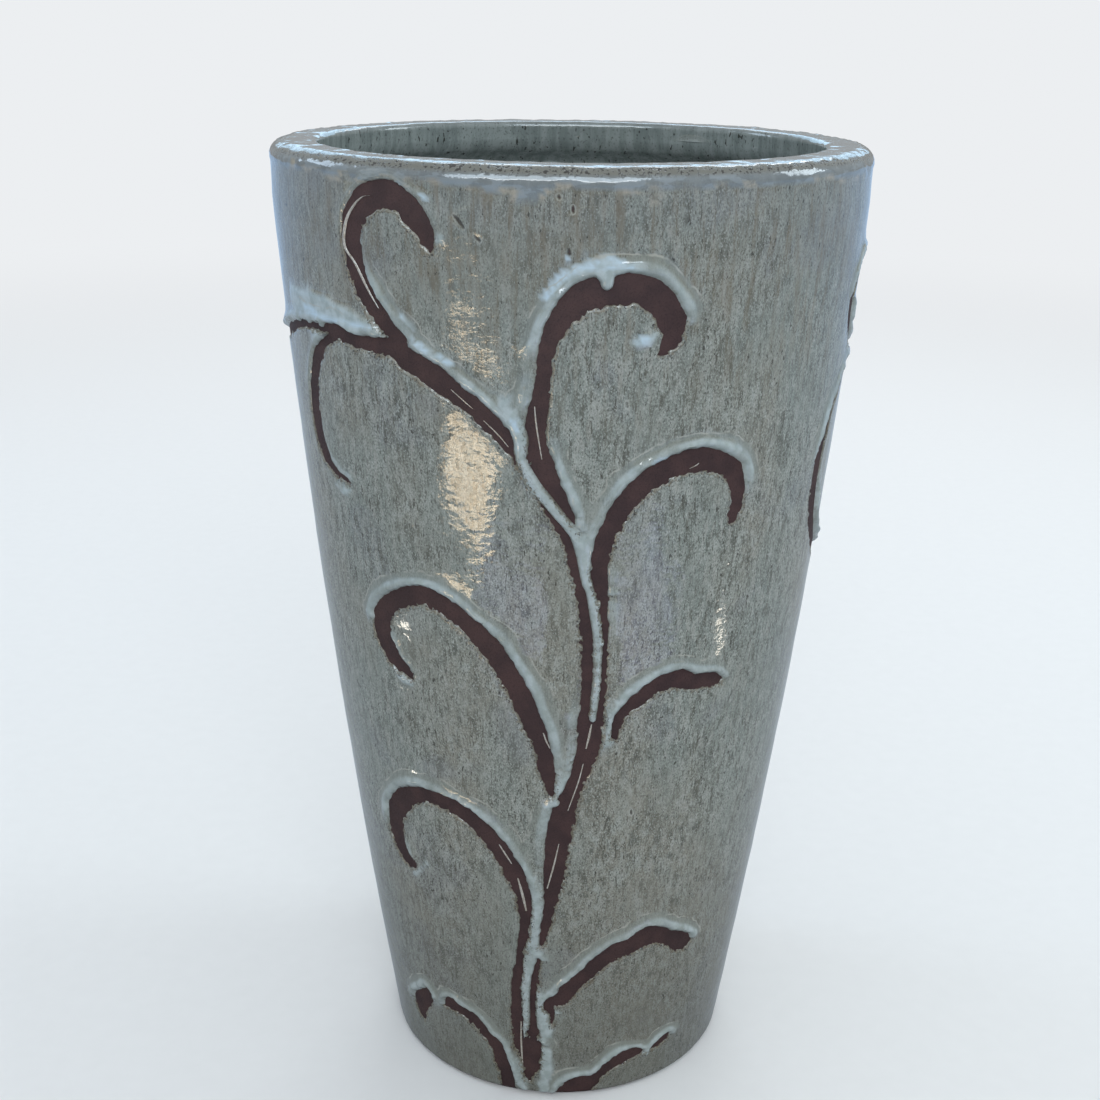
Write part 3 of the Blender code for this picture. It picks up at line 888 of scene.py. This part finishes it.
# Cards that show only in reflections: centre, size, strength, colour, and whether the glow is broken up
CARDS = {
    "front_patch": ((-0.3, -2.6, 2.5), (4.2, 1.5), 7.0, (0.76, 0.89, 1.0), False),
    "cloud_glint": ((-0.4, -2.5, 1.72), (3.0, 0.24), 12.0, (0.90, 0.96, 1.0), False),
    "back_glint": ((0.0, 3.2, 1.85), (3.4, 1.3), 2.4, (0.56, 0.79, 1.0), False),
    "warm_ground": ((-0.76, -0.96, 0.0), (0.42, 0.34), 12.0, WARM, True),
    "warm_strip": ((-1.0, -1.42, 0.0), (0.60, 0.10), 12.0, WARM, True),
    "cool_ground_left": ((-0.32, -0.78, 0.0), (0.42, 0.26), 1.8, COOL, True),
    "cool_ground_right": ((0.47, -0.71, 0.0), (0.34, 0.34), 2.2, COOL, True),
    "left_glint": ((-0.72, -0.21, 0.0), (0.10, 0.03), 16.0, SUNLIT, False),
    "right_glint": ((0.74, -0.25, 0.0), (0.07, 0.03), 16.0, SUNLIT, False),
}
CARD_AIM = (0, 0, 0.5)
CARD_LIFT = 0.004  # a card on the ground lies this far above it

# The room's colour for everything but the camera, by the sine of the height looked at
SKY_STOPS = (
    (0.0, (0.36, 0.36, 0.36)),
    (0.12, (0.42, 0.44, 0.45)),
    (0.45, (0.66, 0.72, 0.78)),
    (1.0, (0.60, 0.62, 0.64)),
)

FLOOR_SIZE = 28.0
FLOOR_FADE = (0.8, 4.5)  # distances over which the floor melts into the room

CAMERA_PLACE = (0, -1.12, 0.7855)
CAMERA_PITCH = 19.166
CAMERA_YAW = -0.5695
CAMERA_ROLL = 0.768
CAMERA_SENSOR = 36
CAMERA_LENS = 50.926


class Surface:
    """A material's node tree, with short names for the nodes it needs."""

    def __init__(self, name):
        self.material = bpy.data.materials.new(name)
        self.material.use_nodes = True
        self.tree = self.material.node_tree
        self.shader = self.tree.nodes["Principled BSDF"]
        self.position = self.tree.nodes.new("ShaderNodeTexCoord").outputs["Object"]

    def node(self, kind, inputs, **settings):
        made = self.tree.nodes.new(kind)
        for key, value in settings.items():
            setattr(made, key, value)
        for key, value in inputs.items():
            if isinstance(value, bpy.types.NodeSocket):
                self.tree.links.new(value, made.inputs[key])
            else:
                made.inputs[key].default_value = value
        return made

    def noise(self, scale, detail=2.0, roughness=0.5, upright=1.0):
        """Noise with about scale features to a metre. Below 1, upright draws them out up the pot."""
        vector = self.node("ShaderNodeMapping", {"Vector": self.position, "Scale": (1, 1, upright)})
        inputs = {"Vector": vector.outputs[0], "Scale": scale, "Detail": detail, "Roughness": roughness}
        return self.node("ShaderNodeTexNoise", inputs).outputs["Fac"]

    def math(self, operation, a, b=0.0):
        return self.node("ShaderNodeMath", {0: a, 1: b}, operation=operation).outputs[0]

    def times(self, a, b):
        return self.math("MULTIPLY", a, b)

    def ramp(self, value, low, high, start=0.0, end=1.0):
        inputs = {"Value": value, "From Min": low, "From Max": high, "To Min": start, "To Max": end}
        return self.node("ShaderNodeMapRange", inputs, interpolation_type="SMOOTHSTEP").outputs[0]

    def mix(self, factor, a, b):
        inputs = {0: factor}
        for index, colour in ((6, a), (7, b)):
            inputs[index] = colour if isinstance(colour, bpy.types.NodeSocket) else (*colour, 1.0)
        return self.node("ShaderNodeMix", inputs, data_type="RGBA").outputs[2]

    def tint(self, colour, other, where, strength):
        """The colour with the other one laid over it, at the given strength where the mask is 1."""
        return self.mix(self.times(where, strength), colour, other)

    def attribute(self, name):
        return self.node("ShaderNodeAttribute", {}, attribute_name=name).outputs["Fac"]

    def bump(self, height, distance, strength):
        inputs = {"Height": height, "Distance": distance, "Strength": strength}
        return self.node("ShaderNodeBump", inputs).outputs["Normal"]

    def output(self, shader):
        self.tree.links.new(shader, self.tree.nodes["Material Output"].inputs["Surface"])
        return self.material

    def finish(self, colour, roughness, normal):
        self.tree.links.new(colour, self.shader.inputs["Base Color"])
        self.tree.links.new(roughness, self.shader.inputs["Roughness"])
        self.tree.links.new(normal, self.shader.inputs["Normal"])
        return self.material


def inside_colour(s):
    """The quieter glaze of the mouth: grey-green, lightly streaked, with dark flecks."""
    streak = s.noise(150, 3, 0.6, 0.14)
    colour = s.mix(s.ramp(streak, 0.35, 0.65), (0.175, 0.205, 0.195), (0.265, 0.300, 0.285))
    grain = s.noise(800, 2, 0.6, 0.6)
    colour = s.mix(s.ramp(grain, 0.56, 0.68, 0.0, 0.55), colour, (0.08, 0.088, 0.080))
    fleck = s.noise(330, 2, 0.5, 0.5)
    return s.mix(s.ramp(fleck, 0.655, 0.69, 0.0, 0.85), colour, (0.03, 0.028, 0.022))


def wall_colour(s):
    """Plain glaze down the wall: grey-green going olive and violet, mottled and streaked with dark iron."""
    cloud = s.noise(9, 3, 0.55, 0.5)
    violet = s.noise(13, 2, 0.5)
    blotch = s.noise(55, 4, 0.65, 0.5)
    mottle = s.noise(170, 4, 0.7, 0.5)
    streak = s.noise(240, 4, 0.65, 0.16)
    hair = s.noise(600, 3, 0.6, 0.16)
    grain = s.noise(1100, 2, 0.6, 0.6)
    calm = s.mix(s.ramp(cloud, 0.40, 0.60), CELADON, OLIVE)
    calm = s.mix(s.ramp(violet, 0.56, 0.64, 0.0, 0.50), calm, VIOLET)
    colour = calm
    for pattern, low, high, strength, tone in (
        (blotch, 0.48, 0.64, 0.70, (0.300, 0.310, 0.265)),
        (blotch, 0.46, 0.33, 0.55, (0.120, 0.122, 0.098)),
        (mottle, 0.51, 0.63, 0.85, (0.340, 0.350, 0.305)),
        (mottle, 0.47, 0.36, 0.80, (0.105, 0.108, 0.086)),
        (streak, 0.52, 0.64, 0.65, (0.350, 0.345, 0.300)),
        (streak, 0.46, 0.35, 0.65, (0.095, 0.090, 0.065)),
        (hair, 0.57, 0.66, 0.85, (0.070, 0.064, 0.046)),
        (grain, 0.46, 0.35, 0.80, (0.085, 0.088, 0.070)),
        (grain, 0.55, 0.66, 0.80, LIGHT_STONE),
    ):
        colour = s.mix(s.ramp(pattern, low, high, 0.0, strength), colour, tone)
    return s.mix(s.ramp(s.noise(17, 3, 0.6), 0.36, 0.58, 0.65, 1.0), calm, colour)


def rust_specks_and_foot_shade(s, colour):
    """Rust towards the rim, painted shade with a painted brown ground reflection towards the foot, and dark
    specks in drifts.
    """
    height_up = s.node("ShaderNodeSeparateXYZ", {0: s.position}).outputs[2]
    colour = s.mix(s.ramp(height_up, HEIGHT - 0.15, HEIGHT - 0.01, 0.0, 0.30), colour, RUST_HAZE)
    rust = s.ramp(s.noise(150, 4, 0.65, 0.12), 0.45, 0.68)
    rust = s.times(rust, s.ramp(height_up, HEIGHT - 0.20, HEIGHT - 0.03, 0.08, 0.62))
    colour = s.mix(rust, colour, RUST)
    # Painted shade and a painted brown ground reflection: darker and browner towards the foot
    colour = s.mix(s.ramp(height_up, 0.28, 0.0, 0.0, 0.60), colour, FOOT_PAINTED_SHADE)
    drifts = s.ramp(s.noise(25, 2), 0.35, 0.65, 0.715, 0.655)
    specks = s.math("SUBTRACT", s.noise(540, 2, 0.5, 0.45), drifts)
    return s.mix(s.ramp(specks, 0.0, 0.03, 0.0, 0.85), colour, SPECK)


def rim_colour(s, colour, look, ripples, shoulder, pits):
    """Smoother glaze over the rim: painted sky reflection in ragged patches on the lower shoulder and the rim
    band, pitted along the shoulder.
    """
    smooth = s.mix(s.ramp(s.noise(90, 3), 0.35, 0.65), RIM_DULL, RIM_LIGHT)
    colour = s.tint(colour, smooth, look["rim"], 0.85)
    # Painted sky reflection: pale blue patches on the lower shoulder and the rim band
    thick = s.times(look["rim"], s.ramp(ripples, 0.48, 0.54))
    colour = s.tint(colour, RIM_PAINTED_SHEEN, s.times(s.ramp(look["along_mm"], 41, 44), thick), 0.4)
    colour = s.tint(colour, PITTED, shoulder, 0.7)
    colour = s.tint(colour, PIT, pits, 0.9)
    return s.mix(look["lip"], colour, inside_colour(s))


def bead_colour(s, colour, look, body, patchy):
    """The beads above the strokes: pale crests and pools, partly thick glaze and partly a painted highlight,
    spots of painted sky reflection, a painted highlight along the edge, and a thin cream border.
    """
    across = look["across"]
    bead = look["bead"]
    colour = s.tint(colour, BEAD_BODY, body, 0.6)
    # Crests and pools tinted pale: partly the paler thick glaze, partly a painted highlight
    crest = s.times(s.ramp(across, 0.66, 0.42), s.ramp(patchy, 0.35, 0.60, 0.45, 1.0))
    crest = s.math("MAXIMUM", s.times(bead, crest), look["pool"])
    pale = s.mix(s.ramp(s.noise(160, 3), 0.35, 0.65), BEAD_DULL, BEAD_PALE)
    colour = s.tint(colour, pale, crest, 0.85)
    # Painted sky reflection: pale blue spots on the thickest glaze
    colour = s.mix(s.times(look["painted_sheen"], s.ramp(s.noise(120, 3), 0.32, 0.52, 0.35, 0.95)), colour, PAINTED_SHEEN_BLUE)
    wavy = s.math("ADD", across, s.ramp(s.noise(70, 2), 0.3, 0.7, -0.12, 0.12))
    border = s.ramp(s.math("ABSOLUTE", s.math("SUBTRACT", wavy, 0.93)), 0.08, 0.01)
    border = s.times(s.times(bead, border), s.ramp(s.noise(85, 2), 0.42, 0.60))
    colour = s.tint(colour, CREAM_LINE, border, 0.7)
    # A painted highlight along the bead's rounded edge, next to the bare clay
    edge_highlight = s.times(bead, s.ramp(look["edge_mm"], 1.0, 0.3))
    return s.tint(colour, (0.40, 0.42, 0.38), edge_highlight, 0.6)


def stroke_colour(s, colour, look, fringe, contour):
    """Below the strokes: a brown ragged fringe with dark dots, and faint lines that follow the stroke."""
    edge = look["edge_mm"]
    colour = s.tint(colour, FRINGE, fringe, 0.8)
    dots = s.times(s.ramp(s.noise(700, 1), 0.60, 0.65), s.ramp(edge, 5.0, 1.0))
    colour = s.tint(colour, FRINGE_DOT, dots, look["frayed"])
    return s.tint(colour, (0.38, 0.39, 0.34), contour, 0.25)


def scar_colour(s, colour, look, patchy):
    """Burst bubbles: dark inside, with a broken pale halo."""
    away = s.math("ABSOLUTE", s.math("SUBTRACT", look["scar"], 0.8))
    halo = s.times(s.ramp(away, 0.6, 0.1), s.ramp(patchy, 0.4, 0.6))
    colour = s.tint(colour, (0.42, 0.42, 0.37), halo, 0.6)
    return s.mix(s.ramp(look["scar"], 0.6, -0.5, 0.0, 0.9), colour, (0.045, 0.036, 0.026))


def glaze_height(s, pits, contour):
    """Height of the waves, grain, pits and drag lines, before the bump's scale."""
    height = s.times(s.noise(900, 2), 0.05)
    for more, share in (
        (s.noise(105, 2, 0.5, 1.5), 0.9),
        (s.noise(400, 2), 0.12),
        (pits, -0.9),
        (contour, 0.08),
    ):
        height = s.math("ADD", height, s.times(more, share))
    return height


def glaze_material():
    """Grey-green glaze: mottled down the wall, pale where it is thick and where highlights are painted, with
    painted sky reflections, painted shade towards the foot, brown where it frays.
    """
    s = Surface("celadon_glaze")
    look = {name: s.attribute(name) for name in LOOK_NAMES}
    patchy = s.noise(38, 2)
    ripples = s.noise(60, 4, 0.6, 2.5)
    shoulder = s.times(s.ramp(look["along_mm"], 32.5, 35), s.ramp(look["along_mm"], 45, 41))
    pits = s.times(s.ramp(s.noise(520, 2), 0.54, 0.59), shoulder)
    body = s.times(look["bead"], s.ramp(look["across"], 1.0, 0.80))
    ragged = s.math("ADD", look["edge_mm"], s.ramp(s.noise(520, 3), 0.3, 0.7, -1.6, 1.6))
    fringe = s.times(s.ramp(ragged, 2.4, 0.6), look["frayed"])
    phase = s.math("ADD", s.times(look["edge_mm"], 3.1), s.times(s.noise(40, 2), 9.0))
    contour = s.times(s.ramp(s.math("SINE", phase), 0.3, 1.0), s.ramp(look["edge_mm"], 11.0, 1.0))

    colour = rust_specks_and_foot_shade(s, wall_colour(s))
    colour = rim_colour(s, colour, look, ripples, shoulder, pits)
    colour = bead_colour(s, colour, look, body, patchy)
    colour = stroke_colour(s, colour, look, fringe, contour)
    colour = s.tint(colour, (0.40, 0.35, 0.27), look["rim_line"], s.ramp(ripples, 0.42, 0.56, 0.1, 0.8))
    colour = scar_colour(s, colour, look, patchy)

    roughness = s.math("MAXIMUM", s.ramp(s.noise(300, 2), 0.3, 0.7, 0.05, 0.10), s.times(fringe, 0.55))
    flowed = s.ramp(s.math("MAXIMUM", body, look["pool"]), 0.0, 1.0, 0.40, 0.12)
    s.shader.inputs["IOR"].default_value = GLAZE_IOR
    return s.finish(colour, roughness, s.bump(glaze_height(s, pits, contour), 0.0008, flowed))


def inside_material():
    s = Surface("inner_celadon")
    mottle = s.noise(380, 4, 0.6)
    colour = s.mix(s.ramp(s.attribute("pool"), 0.2, 0.9, 0.0, 0.7), inside_colour(s), (0.40, 0.46, 0.46))
    s.shader.inputs["IOR"].default_value = GLAZE_IOR
    return s.finish(colour, s.ramp(mottle, 0.3, 0.7, 0.14, 0.26), s.bump(mottle, 0.0005, 0.3))


def thread_material():
    s = Surface("cream_glaze")
    grain = s.noise(500, 3)
    colour = s.mix(s.ramp(grain, 0.35, 0.65), (0.36, 0.31, 0.25), (0.50, 0.46, 0.40))
    return s.finish(colour, s.ramp(grain, 0.3, 0.7, 0.15, 0.30), s.bump(grain, 0.0003, 0.4))


def clay_material():
    s = Surface("fired_clay")
    patch = s.noise(60, 3)
    grain = s.noise(900, 3, 0.6)
    colour = s.mix(s.ramp(patch, 0.35, 0.65), (0.043, 0.021, 0.020), (0.062, 0.030, 0.027))
    colour = s.mix(s.ramp(grain, 0.5, 0.75, 0.0, 0.6), colour, (0.022, 0.015, 0.015))
    s.shader.inputs["Specular IOR Level"].default_value = 0.25
    return s.finish(colour, s.ramp(grain, 0.3, 0.7, 0.62, 0.80), s.bump(grain, 0.0004, 0.5))


def shown(piece, node, material):
    """Stands a piece in for a CAD node, riding on the one body."""
    piece.data.materials.append(material)
    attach(piece, "root")
    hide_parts(node)


def rectangle(name, size, material):
    """A flat rectangle of scenery about the origin, facing up."""
    x, y = size[0] / 2, size[1] / 2
    mesh = bpy.data.meshes.new(name)
    mesh.from_pydata([(-x, -y, 0), (x, -y, 0), (x, y, 0), (-x, y, 0)], [], [(0, 1, 2, 3)])
    mesh.materials.append(material)
    made = bpy.data.objects.new(name, mesh)
    bpy.context.scene.collection.objects.link(made)
    return made


def floor():
    """A plain pale floor that melts into the room. The pot sees a darker, cooler ground in its place."""
    s = Surface("floor_paint")
    seen = s.node("ShaderNodeLightPath", {}).outputs["Is Camera Ray"]
    grain = s.noise(60, 3)
    pale = s.mix(grain, (0.82, 0.81, 0.79), (0.85, 0.84, 0.82))
    s.shader.inputs["Specular IOR Level"].default_value = 0.0
    s.finish(s.mix(seen, GROUND, pale), s.ramp(grain, 0, 1, 0.6, 0.7), s.bump(grain, 0.0002, 0.2))
    distance = s.node("ShaderNodeVectorMath", {0: s.position}, operation="LENGTH").outputs["Value"]
    # Far off, the floor glows: the room's colour to the camera, a bluish horizon light to everything else
    far = s.node("ShaderNodeEmission", {"Color": s.mix(seen, HORIZON, ROOM)}).outputs[0]
    fade = s.node("ShaderNodeMixShader", {0: s.ramp(distance, *FLOOR_FADE), 1: s.shader.outputs[0], 2: far})
    rectangle("floor", (FLOOR_SIZE, FLOOR_SIZE), s.output(fade.outputs[0]))


def aim(made, place, target, axis):
    """Puts an object at place with its axis towards the target."""
    made.location = place
    made.rotation_mode = "QUATERNION"
    made.rotation_quaternion = (Vector(target) - Vector(place)).to_track_quat(axis, "Y")


def card(name, centre, size, strength, colour, broken):
    """A glowing card that shows only in reflections. At height 0 it lies on the floor."""
    s = Surface(name)
    glow = s.ramp(s.noise(17, 4, 0.65), 0.44, 0.50, 0.2, strength) if broken else strength
    emission = s.node("ShaderNodeEmission", {"Color": (*colour, 1.0), "Strength": glow})
    made = rectangle(name, size, s.output(emission.outputs[0]))
    if centre[2] > 0:
        aim(made, centre, CARD_AIM, "Z")
    else:
        made.location = (centre[0], centre[1], CARD_LIFT)
    made.visible_camera = False
    made.visible_diffuse = False
    made.visible_shadow = False
    made.visible_transmission = False


def sky():
    """The room: plain for the camera, brighter and bluer with height for the light it gives."""
    world = bpy.data.worlds.new("room")
    bpy.context.scene.world = world
    world.use_nodes = True
    nodes = world.node_tree.nodes
    link = world.node_tree.links.new
    split = nodes.new("ShaderNodeSeparateXYZ")
    link(nodes.new("ShaderNodeTexCoord").outputs["Generated"], split.inputs[0])
    ramp = nodes.new("ShaderNodeValToRGB")
    link(split.outputs["Z"], ramp.inputs[0])
    stops = ramp.color_ramp.elements
    stops[0].color = (*SKY_STOPS[0][1], 1)
    stops[1].color = (*SKY_STOPS[-1][1], 1)
    for position, colour in SKY_STOPS[1:-1]:
        stops.new(position).color = (*colour, 1)
    mix = nodes.new("ShaderNodeMix")
    mix.data_type = "RGBA"
    link(nodes.new("ShaderNodeLightPath").outputs["Is Camera Ray"], mix.inputs[0])
    link(ramp.outputs[0], mix.inputs[6])
    mix.inputs[7].default_value = (*ROOM, 1)
    link(mix.outputs[2], nodes["Background"].inputs["Color"])


def area_light(name, place, aim_height, size, power, colour, mirrored):
    """A soft rectangular light that the camera doesn't see."""
    light = bpy.data.lights.new(name, "AREA")
    light.shape = "RECTANGLE"
    light.size, light.size_y = size
    light.energy = power
    light.color = colour
    lamp = bpy.data.objects.new(name, light)
    aim(lamp, place, (0, 0, aim_height), "-Z")
    lamp.visible_camera = False
    lamp.visible_glossy = mirrored
    bpy.context.scene.collection.objects.link(lamp)


def camera():
    """A camera a little above the rim, looking down on the front."""
    data = bpy.data.cameras.new("camera")
    data.sensor_width = CAMERA_SENSOR
    data.lens = CAMERA_LENS
    made = bpy.data.objects.new("camera", data)
    made.matrix_world = Matrix.Translation(CAMERA_PLACE)
    for degrees, axis in ((-CAMERA_YAW, "Z"), (90 - CAMERA_PITCH, "X"), (CAMERA_ROLL, "Z")):
        made.matrix_world = made.matrix_world @ Matrix.Rotation(math.radians(degrees), 4, axis)
    bpy.context.scene.collection.objects.link(made)
    bpy.context.scene.camera = made


def main():
    clay = clay_material()
    shown(outer_skin(), "outer_glaze", glaze_material())
    shown(threads(), "outer_glaze", thread_material())
    shown(inner_skin(), "inner_glaze", inside_material())
    shown(clay_wall(), "clay_wall", clay)
    shown(rim_coil(), "rim_coil", clay)
    shown(base_slab(), "base_slab", clay)
    floor()
    sky()
    for name, settings in LIGHTS.items():
        area_light(name, *settings)
    for name, settings in CARDS.items():
        card(name, *settings)
    camera()
    bpy.context.scene.view_settings.view_transform = "Standard"


main()
